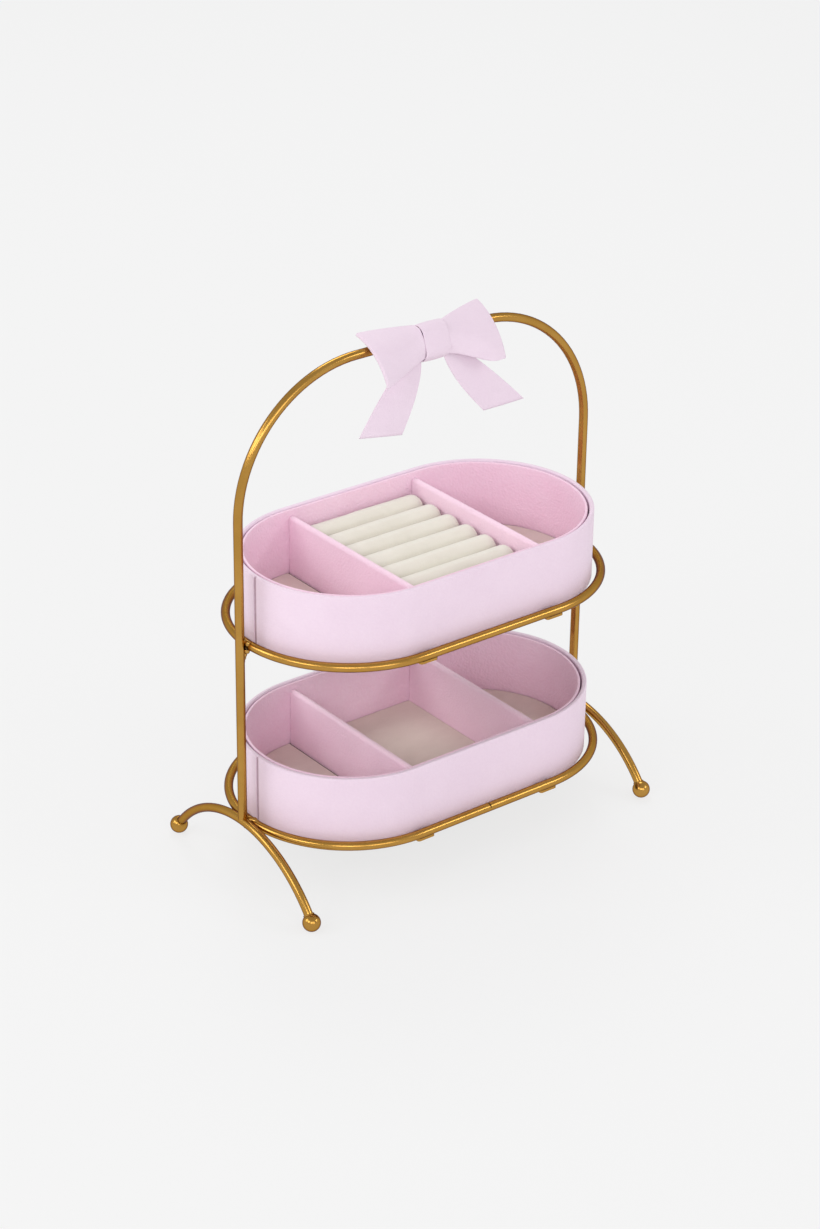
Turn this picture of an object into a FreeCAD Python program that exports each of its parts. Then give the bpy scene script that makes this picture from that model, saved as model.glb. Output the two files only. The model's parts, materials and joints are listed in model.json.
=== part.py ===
import FreeCAD, Part
import math
import os
import Sketcher

# Two-tier jewelry stand: a bent-wire arch on bowed legs carries two stadium rings,
# and a wrapped tray sits in each ring. A folded ribbon bow is tied to the arch.
# Millimetres, +Z up, X along the trays, -Y to the front, origin on the ground
# at the middle of the footprint.

doc = FreeCAD.newDocument("jewelry_stand")
sheet = doc.addObject("Spreadsheet::Sheet", "sheet")
V = FreeCAD.Vector
X_AXIS = V(1, 0, 0)
UP = V(0, 0, 1)

# Driving dimensions, in millimetres, degrees or counts.
SIZES = {
    # wire stand
    "wire_diameter": 5.0,
    "overall_height": 292.0,
    "post_spacing": 234.0,
    "arch_corner_radius": 75.4,
    "leg_span": 126.0,
    "leg_height": 37.3,
    "foot_diameter": 10.0,
    "foot_flat_angle": 71.0,
    "ring_width": 132.3,
    "lower_ring_height": 35.6,
    "upper_ring_height": 143.4,
    # flat strips that carry the trays
    "strip_width": 11.4,
    "strip_thickness": 1.5,
    "strip_spacing": 86.0,
    "strip_overlap": 1.0,
    "strip_corner_radius": 1.5,
    # weld beads between ring and post
    "bead_height": 11.0,
    "bead_depth": 6.4,
    "bead_breadth": 6.8,
    "bead_gap": 0.05,
    # trays
    "tray_clearance": 2.5,
    "tray_height": 40.5,
    "wall_thickness": 2.6,
    "rim_radius": 0.9,
    "seam_radius": 1.1,
    "liner_gap": 0.45,
    "liner_thickness": 1.5,
    "liner_drop": 0.6,
    "base_thickness": 1.6,
    "lining_thickness": 0.8,
    "board_clearance": 0.2,
    "divider_thickness": 4.0,
    "divider_spacing": 85.0,
    "divider_drop": 4.3,
    # ring pad of the upper tray
    "card_thickness": 0.8,
    "roll_count": 7,
    "roll_drop": 9.6,
    "roll_gap": 0.35,
    "roll_end_gap": 0.6,
    "roll_end_radius": 3.0,
    # ribbon bow
    "ribbon_thickness": 1.2,
    "ribbon_lay_gap": 0.15,
    "wire_seat_gap": 0.3,
    "bow_offset": 4.6,
    "bow_tilt": 18.0,
    "knot_width": 14.5,
    "knot_height": 19.9,
    "knot_drop": 2.7,
    "loop_reach": 39.8,
    "loop_crest_rise": 9.8,
    "loop_crest_back": 4.4,
    "loop_skirt_drop": 19.5,
    "loop_skirt_front": 13.8,
    "loop_cover_gap": 1.4,
    "loop_cover_angle": 15.0,
    "tail_inner_reach": 27.6,
    "tail_outer_reach": 54.9,
    "tail_inner_drop": 46.8,
    "left_tail_outer_drop": 40.9,
    "right_tail_outer_drop": 46.6,
    "tail_tip_front": 1.5,
    "tail_curl": 0.9,
}

# Sizes that follow from the driving ones.
FITS = {
    "wire_radius": "wire_diameter / 2",
    "foot_radius": "foot_diameter / 2",
    "foot_height": "foot_radius * sin(foot_flat_angle)",
    "arch_height": "overall_height - wire_radius",
    "ring_radius": "ring_width / 2",
    "ring_straight": "post_spacing - 2 * wire_diameter - ring_width",
    "leg_rise": "leg_height - foot_height",
    "leg_arc_radius": "(leg_span ^ 2 / 4 + leg_rise ^ 2) / (2 * leg_rise)",
    "leg_arc_angle": "2 * asin(leg_span / 2 / leg_arc_radius)",
    "bead_place": "post_spacing / 2 - wire_radius",
    "bead_seat_radius": "wire_radius + bead_gap",
    "wall_radius": "ring_radius - wire_radius - tray_clearance",
    "wall_inner_radius": "wall_radius - wall_thickness",
    "liner_radius": "wall_inner_radius - liner_gap",
    "bay_radius": "liner_radius - liner_thickness",
    "floor_radius": "bay_radius - board_clearance",
    "base_radius": "wall_inner_radius - board_clearance",
    "divider_place": "divider_spacing / 2",
    "divider_length": "2 * floor_radius",
    "divider_height": "tray_height - divider_drop - base_thickness",
    "bay_edge": "divider_place - divider_thickness / 2 - board_clearance",
    "end_bay_edge": "divider_place + divider_thickness / 2 + board_clearance",
    "roll_seat": "base_thickness + card_thickness",
    "roll_pitch": "2 * floor_radius / roll_count",
    "roll_width": "roll_pitch - roll_gap",
    "roll_length": "2 * (bay_edge - roll_end_gap)",
    "roll_height": "tray_height - roll_drop - roll_seat",
    "tail_front": "wire_radius + wire_seat_gap + ribbon_thickness",
    "loop_front": "tail_front + ribbon_lay_gap + 2 * ribbon_thickness",
    "knot_front": "loop_front + ribbon_lay_gap + ribbon_thickness",
    "knot_back": "wire_radius + wire_seat_gap + ribbon_thickness",
    "knot_radius": "(knot_front + knot_back) / 2",
    "knot_inner_radius": "knot_radius - ribbon_thickness",
    "knot_straight": "knot_height - 2 * knot_radius",
    "knot_place": "(knot_front - knot_back) / 2",
}

for row, (alias, content) in enumerate(list(SIZES.items()) + list(FITS.items()), start=1):
    cell = "B%d" % row
    sheet.set("A%d" % row, alias)
    sheet.set(cell, "=" + content if alias in FITS else str(content))
    sheet.setAlias(cell, alias)
doc.recompute()


def size(alias):
    """A value of the sheet as a plain number."""
    return float(getattr(sheet, alias))


def bind(obj, path, formula):
    """Tie a property of an object to the sheet's cells."""
    for alias in sorted(list(SIZES) + list(FITS), key=len, reverse=True):
        formula = formula.replace("<" + alias + ">", "sheet." + alias)
    obj.setExpression(path, formula)


def place(obj, x="0", y="0", z="0"):
    """Bind the position of an object to the sheet."""
    for axis, formula in (("x", x), ("y", y), ("z", z)):
        bind(obj, "Placement.Base." + axis, formula)


# Sketches and features

def new_body(name):
    return doc.addObject("PartDesign::Body", name)


def new_sketch(body, name, role):
    """A sketch on one of the body's own origin planes."""
    sketch = body.newObject("Sketcher::SketchObject", name)
    plane = [item for item in body.Origin.OriginFeatures if item.Role == role][0]
    sketch.AttachmentSupport = [(plane, "")]
    sketch.MapMode = "FlatFace"
    return sketch


def rule(sketch, *terms):
    return sketch.addConstraint(Sketcher.Constraint(*terms))


def dimension(sketch, formula, *terms):
    """A dimension of a sketch that follows the sheet."""
    index = rule(sketch, *terms)
    bind(sketch, "Constraints[%d]" % index, formula)


def corner(sketch, first, second, kind="Coincident"):
    """Join the end of one edge to the start of the next."""
    rule(sketch, kind, first, 2, second, 1)


def add_circle(sketch, diameter, across=None, along=None):
    """A circle of the given diameter, off the origin where places are given."""
    index = sketch.addGeometry(Part.Circle(V(), UP, size("wire_radius")))
    dimension(sketch, diameter, "Diameter", index, size("wire_diameter"))
    for kind, formula in (("DistanceX", across), ("DistanceY", along)):
        if formula:
            dimension(sketch, formula, kind, -1, 1, index, 3, size("wire_radius"))
        else:
            rule(sketch, "PointOnObject", index, 3, -2 if kind == "DistanceX" else -1)
    return index


def add_stadium(sketch, straight, radius, upright=False):
    """A stadium about the origin: two straights, along x or upright, and two round ends."""
    half = size(straight) / 2
    bend = size(radius)
    turn = math.pi / 2 if upright else 0
    spin = FreeCAD.Rotation(UP, math.degrees(turn))

    def side(x, y):
        start = spin.multVec(V(-x, y))
        return sketch.addGeometry(Part.LineSegment(start, spin.multVec(V(x, y))))

    def end(x, start):
        circle = Part.Circle(spin.multVec(V(x, 0)), UP, bend)
        return sketch.addGeometry(Part.ArcOfCircle(circle, start + turn, start + turn + math.pi))

    front = side(half, -bend)
    right = end(half, -math.pi / 2)
    back = side(-half, bend)
    left = end(-half, math.pi / 2)
    for first, second in ((front, right), (right, back), (back, left), (left, front)):
        corner(sketch, first, second, "Tangent")
    rule(sketch, "Equal", right, left)
    rule(sketch, "Symmetric", right, 3, left, 3, -1, 1)
    rule(sketch, "Vertical" if upright else "Horizontal", front)
    dimension(sketch, "<%s>" % radius, "Radius", right, bend)
    dimension(sketch, "<%s>" % straight, "Distance", front, 2 * half)


def add_round_top(sketch, width, height):
    """An upright outline on the x axis: flat foot, straight sides and a half-round top."""
    half = size(width) / 2
    shoulder = size(height) - half
    foot = sketch.addGeometry(Part.LineSegment(V(-half, 0), V(half, 0)))
    right = sketch.addGeometry(Part.LineSegment(V(half, 0), V(half, shoulder)))
    crown = sketch.addGeometry(
        Part.ArcOfCircle(Part.Circle(V(0, shoulder), UP, half), 0, math.pi))
    left = sketch.addGeometry(Part.LineSegment(V(-half, shoulder), V(-half, 0)))
    corner(sketch, foot, right)
    corner(sketch, right, crown, "Tangent")
    corner(sketch, crown, left, "Tangent")
    corner(sketch, left, foot)
    rule(sketch, "Symmetric", foot, 1, foot, 2, -1, 1)
    rule(sketch, "Horizontal", foot)
    rule(sketch, "Vertical", right)
    dimension(sketch, "<%s>" % width, "Distance", foot, 2 * half)
    dimension(sketch, "<%s> - <%s> / 2" % (height, width), "Distance", right, shoulder)


def pad(body, sketch, length, midplane=False):
    feature = body.newObject("PartDesign::Pad", body.Name + "_pad")
    feature.Profile = sketch
    feature.SideType = "Symmetric" if midplane else "One side"
    bind(feature, "Length", length)
    doc.recompute()
    return feature


def pipe(body, profile, spine):
    feature = body.newObject("PartDesign::AdditivePipe", body.Name + "_pipe")
    feature.Profile = profile
    feature.Spine = (spine, ["Edge%d" % (k + 1) for k in range(spine.GeometryCount)])
    doc.recompute()
    return feature


def fillet(body, base, names, radius):
    feature = body.newObject("PartDesign::Fillet", body.Name + "_fillet")
    feature.Base = (base, names)
    bind(feature, "Radius", radius)
    doc.recompute()
    return feature


def names_where(shape, kind, test):
    """Names of the edges or faces whose centre passes the test."""
    return ["%s%d" % (kind, k + 1) for k, item in enumerate(getattr(shape, kind + "s"))
            if test(item)]


def near(a, b):
    return abs(a - b) < Part.Precision.confusion() * 100


NODES = {}


def node(label, obj):
    """Name a finished sub-part."""
    obj.Label = label
    NODES[label] = obj
    return obj


def fitted(label, base, neighbours):
    """A sub-part cut to the shape of the neighbours that it meets, one after another."""
    for count, neighbour in enumerate(neighbours, start=1):
        result = doc.addObject("Part::Cut", "%s_fit_%d" % (label, count))
        result.Base = base
        result.Tool = neighbour
        base = result
    return node(label, base)


# Wire stand

def foot(label, side, depth):
    """A ball with a small flat under it, on which the stand rests."""
    ball = node(label, doc.addObject("Part::Sphere", label))
    bind(ball, "Radius", "<foot_radius>")
    bind(ball, "Angle1", "-<foot_flat_angle>")
    place(ball, "%d * <post_spacing> / 2" % side, "%d * <leg_span> / 2" % depth, "<foot_height>")
    return ball


def leg(label, side, feet):
    """A wire bowed over in one arc from ball to ball, across the stand."""
    body = new_body(label + "_wire")
    profile = new_sketch(body, label + "_section", "XZ_Plane")
    add_circle(profile, "<wire_diameter>", along="<leg_height>")
    axis = profile.addGeometry(Part.LineSegment(V(), V(size("wire_diameter"), 0)), True)
    rule(profile, "Horizontal", axis)
    rule(profile, "PointOnObject", axis, 1, -2)
    dimension(profile, "<wire_diameter>", "Distance", axis, size("wire_diameter"))
    dimension(profile, "<leg_height> - <leg_arc_radius>", "DistanceY", -1, 1, axis, 1, 0)
    doc.recompute()
    bow = body.newObject("PartDesign::Revolution", label + "_bow")
    bow.Profile = profile
    bow.ReferenceAxis = (profile, ["Axis0"])
    bow.Midplane = True
    bind(bow, "Angle", "<leg_arc_angle>")
    place(body, "%d * <post_spacing> / 2" % side)
    doc.recompute()
    return fitted(label, body, feet)


def arch_wire():
    """The hoop before its ends are coped onto the legs."""
    body = new_body("arch_wire")
    spine = new_sketch(body, "arch_path", "XZ_Plane")
    reach = size("post_spacing") / 2
    low = size("leg_height")
    top = size("arch_height")
    bend = size("arch_corner_radius")
    flat = reach - bend
    left = spine.addGeometry(Part.LineSegment(V(-reach, low), V(-reach, top - bend)))
    left_bend = spine.addGeometry(
        Part.ArcOfCircle(Part.Circle(V(-flat, top - bend), UP, bend), math.pi / 2, math.pi))
    bridge = spine.addGeometry(Part.LineSegment(V(-flat, top), V(flat, top)))
    right_bend = spine.addGeometry(
        Part.ArcOfCircle(Part.Circle(V(flat, top - bend), UP, bend), 0, math.pi / 2))
    right = spine.addGeometry(Part.LineSegment(V(reach, top - bend), V(reach, low)))
    # a counter-clockwise arc starts at its right end, so both bends join end to start in reverse
    rule(spine, "Tangent", left, 2, left_bend, 2)
    rule(spine, "Tangent", left_bend, 1, bridge, 1)
    rule(spine, "Tangent", bridge, 2, right_bend, 2)
    rule(spine, "Tangent", right_bend, 1, right, 1)
    rule(spine, "Symmetric", left, 1, right, 2, -2)
    rule(spine, "Vertical", left)
    rule(spine, "Vertical", right)
    rule(spine, "Horizontal", bridge)
    dimension(spine, "<post_spacing>", "DistanceX", left, 1, right, 2, 2 * reach)
    dimension(spine, "<leg_height>", "DistanceY", -1, 1, left, 1, low)
    dimension(spine, "<arch_height>", "DistanceY", -1, 1, bridge, 1, top)
    dimension(spine, "<arch_corner_radius>", "Radius", left_bend, bend)
    profile = new_sketch(body, "arch_section", "XY_Plane")
    add_circle(profile, "<wire_diameter>", across="-<post_spacing> / 2")
    bind(profile, "AttachmentOffset.Base.z", "<leg_height>")
    doc.recompute()
    pipe(body, profile, spine)
    return body


def ring(label, height):
    body = node(label, new_body(label))
    spine = new_sketch(body, label + "_path", "XY_Plane")
    add_stadium(spine, "ring_straight", "ring_radius")
    profile = new_sketch(body, label + "_section", "YZ_Plane")
    add_circle(profile, "<wire_diameter>", across="-<ring_radius>")
    doc.recompute()
    pipe(body, profile, spine)
    place(body, z=height)
    return body


def strip(label, side, height):
    """A flat bar across the underside of a ring, ending just past the middle of the wire."""
    bar = doc.addObject("Part::Box", label + "_bar")
    bind(bar, "Length", "<strip_width>")
    bind(bar, "Width", "<ring_width> + 2 * <strip_overlap>")
    bind(bar, "Height", "<strip_thickness>")
    place(bar, "%d * <strip_spacing> / 2 - <strip_width> / 2" % side,
          "-<ring_width> / 2 - <strip_overlap>", height + " - <wire_radius> - <strip_thickness>")
    doc.recompute()
    rounded = node(label, doc.addObject("Part::Fillet", label))
    rounded.Base = bar
    upright = [k + 1 for k, edge in enumerate(bar.Shape.Edges)
               if near(edge.Length, size("strip_thickness"))]
    bend = size("strip_corner_radius")
    rounded.Edges = [(k, bend, bend) for k in upright]
    return rounded


def bead(label, side, height):
    """A weld bead on the ring's end, shaped to the ring, the post and the leg that it joins."""
    drop = doc.addObject("Part::Ellipsoid", label + "_drop")
    bind(drop, "Radius1", "<bead_height> / 2")
    bind(drop, "Radius2", "<bead_breadth> / 2")
    bind(drop, "Radius3", "<bead_depth> / 2")
    place(drop, "%d * <bead_place>" % side, z=height)
    post_seat = doc.addObject("Part::Cylinder", label + "_post_seat")
    bind(post_seat, "Radius", "<bead_seat_radius>")
    bind(post_seat, "Height", "<overall_height>")
    place(post_seat, "%d * <post_spacing> / 2" % side, z="<leg_height>")
    ring_seat = doc.addObject("Part::Torus", label + "_ring_seat")
    bind(ring_seat, "Radius1", "<ring_radius>")
    bind(ring_seat, "Radius2", "<bead_seat_radius>")
    place(ring_seat, "%d * <ring_straight> / 2" % side, z=height)
    leg_seat = doc.addObject("Part::Torus", label + "_leg_seat")
    leg_seat.Placement.Rotation = FreeCAD.Rotation(UP, X_AXIS)
    bind(leg_seat, "Radius1", "<leg_arc_radius>")
    bind(leg_seat, "Radius2", "<bead_seat_radius>")
    place(leg_seat, "%d * <post_spacing> / 2" % side, z="<leg_height> - <leg_arc_radius>")
    return fitted(label, drop, [ring_seat, post_seat, leg_seat])


SIDES = (("left", -1), ("right", 1))
TIERS = (("upper", "<upper_ring_height>"), ("lower", "<lower_ring_height>"))

legs = []
for name, side in SIDES:
    feet = [foot("%s_%s_foot" % (name, end), side, depth)
            for end, depth in (("front", -1), ("back", 1))]
    legs.append(leg(name + "_leg", side, feet))
fitted("arch_hoop", arch_wire(), legs)
for tier, height in TIERS:
    ring(tier + "_ring", height)
    for name, side in SIDES:
        strip("%s_%s_strip" % (tier, name), side, height)
        bead("%s_%s_weld" % (tier, name), side, height)


# Trays

def band(label, radius, inner, height):
    """A standing wall that follows the stadium outline."""
    body = node(label, new_body(label))
    outline = new_sketch(body, label + "_outline", "XY_Plane")
    add_stadium(outline, "ring_straight", radius)
    add_stadium(outline, "ring_straight", inner)
    doc.recompute()
    return body, pad(body, outline, height)


def sheet_plate(label, radius, thickness):
    """A flat stadium-shaped board."""
    body = new_body(label)
    outline = new_sketch(body, label + "_outline", "XY_Plane")
    add_stadium(outline, "ring_straight", radius)
    doc.recompute()
    pad(body, outline, thickness)
    return body


def tray_wall(label, base):
    """The wrapped wall, with a rounded rim and the open butt seam of its cover."""
    body, wall = band(label, "wall_radius", "wall_inner_radius", "<tray_height>")
    rim = names_where(wall.Shape, "Face", lambda face: near(face.BoundBox.ZMin, size("tray_height")))
    fillet(body, wall, rim, "<rim_radius>")
    seam = new_sketch(body, label + "_seam", "XY_Plane")
    add_circle(seam, "2 * <seam_radius>", across="-<ring_straight> / 2 - <wall_radius>")
    before = body.Shape.Volume
    groove = body.newObject("PartDesign::Pocket", label + "_groove")
    groove.Profile = seam
    groove.Type = "ThroughAll"
    groove.Reversed = True
    doc.recompute()
    if body.Shape.Volume >= before:
        raise RuntimeError("the seam groove of %s cuts nothing" % label)
    place(body, z=base)


def divider(label, side, base):
    body = node(label, new_body(label))
    profile = new_sketch(body, label + "_section", "XZ_Plane")
    add_round_top(profile, "divider_thickness", "divider_height")
    doc.recompute()
    pad(body, profile, "<divider_length>", midplane=True)
    place(body, "%d * <divider_place>" % side, z=base + " + <base_thickness>")


def compartment_sheet(label, plate, start, end, base):
    """The part of a floor plate that lies in one compartment."""
    block = doc.addObject("Part::Box", label + "_bay")
    bind(block, "Length", "%s - (%s)" % (end, start))
    bind(block, "Width", "2 * <floor_radius>")
    bind(block, "Height", "<base_thickness>")
    place(block, start, "-<floor_radius>")
    piece = node(label, doc.addObject("Part::Common", label))
    piece.Base = plate
    piece.Tool = block
    place(piece, z=base + " + <base_thickness>")


def tray(tier, height, centre):
    """One tray: wall, liner, base board, dividers and floor pieces."""
    base = height + " - <wire_radius>"
    prefix = tier + "_tray_"
    tray_wall(prefix + "wall", base)
    liner, _ = band(prefix + "liner", "liner_radius", "bay_radius",
                    "<tray_height> - <liner_drop> - <base_thickness>")
    place(liner, z=base + " + <base_thickness>")
    board = node(prefix + "base", sheet_plate(prefix + "base", "base_radius", "<base_thickness>"))
    place(board, z=base)
    lining = sheet_plate(prefix + "lining_sheet", "floor_radius", "<lining_thickness>")
    tip = "(<ring_straight> / 2 + <floor_radius>)"
    compartment_sheet(prefix + "left_lining", lining, "-" + tip, "-<end_bay_edge>", base)
    compartment_sheet(prefix + "right_lining", lining, "<end_bay_edge>", tip, base)
    floor = lining
    if centre == "ring_roll_card":
        floor = sheet_plate("card_sheet", "floor_radius", "<card_thickness>")
    compartment_sheet(centre, floor, "-<bay_edge>", "<bay_edge>", base)
    for name, side in SIDES:
        divider(prefix + name + "_divider", side, base)


def ring_roll(index):
    """A soft roll of the ring pad, counted from the back: round top and rounded ends."""
    label = "ring_roll_%d" % (index + 1)
    body = node(label, new_body(label))
    profile = new_sketch(body, label + "_section", "YZ_Plane")
    add_round_top(profile, "roll_width", "roll_height")
    doc.recompute()
    block = pad(body, profile, "<roll_length>", midplane=True)
    ends = names_where(block.Shape, "Edge", lambda edge: (
        near(edge.BoundBox.XLength, 0) and edge.BoundBox.ZMax > size("roll_end_radius")))
    fillet(body, block, ends, "<roll_end_radius>")
    place(body, y="<roll_pitch> * ((<roll_count> - 1) / 2 - %d)" % index,
          z="<upper_ring_height> - <wire_radius> + <roll_seat>")


tray("upper", "<upper_ring_height>", "ring_roll_card")
tray("lower", "<lower_ring_height>", "lower_tray_centre_lining")
for index in range(int(size("roll_count"))):
    ring_roll(index)


# Ribbon bow. Its own frame lies on the wire: x along the wire, y to the back and z up
# in the bow's plane, which leans back at the top by the tilt. Places in the ribbon's
# cross-section are pairs: forward from the wire's centre, and up.

def set_on_wire(obj):
    obj.Placement = FreeCAD.Placement(V(), FreeCAD.Rotation(X_AXIS, -size("bow_tilt")))
    place(obj, "<bow_offset>", z="<arch_height>")


def knot():
    """The band round the loops, the tails and the wire."""
    body = node("bow_knot", new_body("bow_knot"))
    outline = new_sketch(body, "knot_outline", "YZ_Plane")
    add_stadium(outline, "knot_straight", "knot_radius", upright=True)
    add_stadium(outline, "knot_straight", "knot_inner_radius", upright=True)
    bind(outline, "AttachmentOffset.Base.x", "-<knot_place>")
    bind(outline, "AttachmentOffset.Base.y", "-<knot_drop>")
    doc.recompute()
    pad(body, outline, "<knot_width>", midplane=True)
    set_on_wire(body)


def between(first, second, shares):
    """The place at a share of the way, forward and up, from one place to another."""
    return tuple(a + (b - a) * share for a, b, share in zip(first, second, shares))


def bent_layer(points, thickness):
    """Outline of a ribbon bent through three points of its front, thickened to the wire side."""
    outer = Part.ArcOfCircle(*points)
    hub = outer.Center
    shrink = 1 - thickness / outer.Radius
    inner = [hub + (point - hub) * shrink for point in points]
    return Part.Wire([
        outer.toShape(), Part.makeLine(points[2], inner[2]),
        Part.ArcOfCircle(*reversed(inner)).toShape(), Part.makeLine(inner[0], points[0])])


# Stations of a loop, as shares of the way from the knot's edge to the fold, and how far
# the ribbon has come forward or back, and up or down, to its place at the fold.
LOOP_STATION_SHARES = (0.0, 0.32, 0.66, 1.0)
LOOP_FORWARD_SHARES = (0.0, 0.36, 0.73, 1.0)
LOOP_RISE_SHARES = (0.0, 0.62, 0.95, 1.0)
# Height of the gathered ribbon inside the knot, as a share of the room there.
PINCH_SHARE = 0.87


def loop(label, side):
    """One loop, pressed flat: gathered in the knot, draped over the wire at its fold."""
    room = size("knot_height") / 2 - size("ribbon_thickness")
    rise = PINCH_SHARE * room
    over = rise - size("knot_straight") / 2
    shoulder = size("knot_place") + math.sqrt(size("knot_inner_radius") ** 2 - over ** 2)
    edge = shoulder - 2 * size("ribbon_lay_gap")
    gathered = ((edge, rise - size("knot_drop")), (size("loop_front"), -size("knot_drop")),
                (edge, -rise - size("knot_drop")))
    cover = size("wire_radius") + size("loop_cover_gap") + 2 * size("ribbon_thickness")
    lean = math.radians(size("loop_cover_angle"))
    opened = ((-size("loop_crest_back"), size("loop_crest_rise")),
              (cover * math.cos(lean), cover * math.sin(lean)),
              (size("loop_skirt_front"), -size("loop_skirt_drop")))
    edge_of_knot = size("knot_width") / 2
    stations = [(0, (0, 0))] + [
        (edge_of_knot + (size("loop_reach") - edge_of_knot) * along, (forward, rise))
        for along, forward, rise in zip(LOOP_STATION_SHARES, LOOP_FORWARD_SHARES, LOOP_RISE_SHARES)]
    sections = []
    for reach, opening in stations:
        places = [between(a, b, opening) for a, b in zip(gathered, opened)]
        front = [V(side * reach, -forward, up) for forward, up in places]
        sections.append(bent_layer(front, 2 * size("ribbon_thickness")))
    ribbon(label, Part.makeLoft(sections, True))


# Each edge of a tail is one bend from the knot's side to the cut end: start, control and
# end, as shares of that edge's reach and drop. The root runs on level into the knot.
TAIL_INNER_SHARES = ((0.27, 0.24), (0.33, 0.53), (1.0, 1.0))
TAIL_OUTER_SHARES = ((0.175, 0.085), (0.53, 0.36), (1.0, 1.0))
TAIL_ROOT_SHARES = (0.19, 0.11)
TAIL_STATION_SHARES = (0.0, 0.25, 0.5, 0.75, 1.0)
# How far forward of its cut end the tail lies where it leaves the knot.
TAIL_FORWARD_SHARE = 0.5


def along_bend(points, share):
    """The place at a share of a quadratic bend."""
    start, control, end = points
    return tuple((1 - share) ** 2 * a + 2 * share * (1 - share) * b + share ** 2 * c
                 for a, b, c in zip(start, control, end))


def tail(label, side, outer_drop):
    """One hanging end of the ribbon, laid behind the loops and cut off straight."""
    tip = size("tail_tip_front")
    curl = size("tail_curl")

    def section(inner, outer, share):
        root = size("tail_front") - curl
        forward = tip + (root - tip) * TAIL_FORWARD_SHARE * (1 - share)
        low = V(side * inner[0] * size("tail_inner_reach"), curl - forward,
                -inner[1] * size("tail_inner_drop"))
        high = V(side * outer[0] * size("tail_outer_reach"), -forward, -outer[1] * outer_drop)
        crown = (low + high) / 2 - V(0, curl / 2, 0)
        return bent_layer((low, crown, high), size("ribbon_thickness"))

    blade = [section(along_bend(TAIL_INNER_SHARES, share), along_bend(TAIL_OUTER_SHARES, share), share)
             for share in TAIL_STATION_SHARES]
    root = [section((0, TAIL_ROOT_SHARES[0]), (0, TAIL_ROOT_SHARES[1]), 0), blade[0]]
    ribbon(label, Part.makeLoft(root, True).fuse(Part.makeLoft(blade, True)))


def ribbon(label, shape):
    """A length of ribbon set in its place on the wire."""
    piece = node(label, doc.addObject("Part::Feature", label))
    piece.Shape = shape
    set_on_wire(piece)


knot()
for name, side in SIDES:
    loop("bow_%s_loop" % name, side)
    tail("bow_%s_tail" % name, side, size(name + "_tail_outer_drop"))

# Every object has to be sound before anything is written.
doc.recompute()
for obj in doc.Objects:
    if "Invalid" in obj.State or "Error" in obj.State:
        raise RuntimeError("%s failed: %s" % (obj.Label, obj.State))
for label, obj in NODES.items():
    if obj.Shape.isNull() or not obj.Shape.isValid():
        raise RuntimeError("%s has no sound shape" % label)
    print(label, len(obj.Shape.Solids), round(obj.Shape.Volume, 1))

os.makedirs("parts", exist_ok=True)
for label, obj in NODES.items():
    obj.Shape.exportStep("parts/%s.step" % label)
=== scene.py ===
import json
import math

import bmesh
import bpy
from mathutils import Matrix, Vector, noise


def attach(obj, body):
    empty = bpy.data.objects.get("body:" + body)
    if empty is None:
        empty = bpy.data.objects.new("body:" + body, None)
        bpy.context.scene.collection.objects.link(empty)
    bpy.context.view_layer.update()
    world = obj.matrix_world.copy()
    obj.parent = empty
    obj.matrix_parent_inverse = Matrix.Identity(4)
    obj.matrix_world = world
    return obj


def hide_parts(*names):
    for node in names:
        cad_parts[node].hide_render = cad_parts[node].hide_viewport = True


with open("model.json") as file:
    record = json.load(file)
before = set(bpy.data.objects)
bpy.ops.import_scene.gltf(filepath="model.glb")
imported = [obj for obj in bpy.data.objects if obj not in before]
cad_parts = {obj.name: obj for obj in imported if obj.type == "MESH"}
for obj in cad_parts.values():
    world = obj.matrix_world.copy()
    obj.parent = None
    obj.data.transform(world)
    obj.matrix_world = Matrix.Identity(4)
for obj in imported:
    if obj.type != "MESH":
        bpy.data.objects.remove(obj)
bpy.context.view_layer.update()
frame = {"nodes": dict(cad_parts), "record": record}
nodes = frame["nodes"]
scene = bpy.context.scene
MM = 0.001

# ---------------------------------------------------------------- sizes of the CAD model, mm
WIRE_RADIUS = 2.5
POST_X = 117.0
RING_HALF_STRAIGHT = 45.85
RING_RADIUS = 66.15
RING_Z = {"upper": 143.4, "lower": 35.6}
TRAY_Z = {"upper": 140.9, "lower": 33.1}
TRAY_HEIGHT = 40.5
BASE_THICKNESS = 1.6
LINING_THICKNESS = 0.8
FLOOR_RADIUS = 56.4
BAY_EDGE = 40.3
LEG_HALF_SPAN = 63.0
LEG_TOP_Z = 37.3
FOOT_Z = 4.73
WALL_RADIUS = 61.15
SEAM_DEPTH = 1.1
LINER_RADIUS = 58.1
LINER_THICKNESS = 1.5
LINER_DROP = 0.6
CARD_THICKNESS = 0.8
SIDES = ((-1, "left"), (1, "right"))


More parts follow.
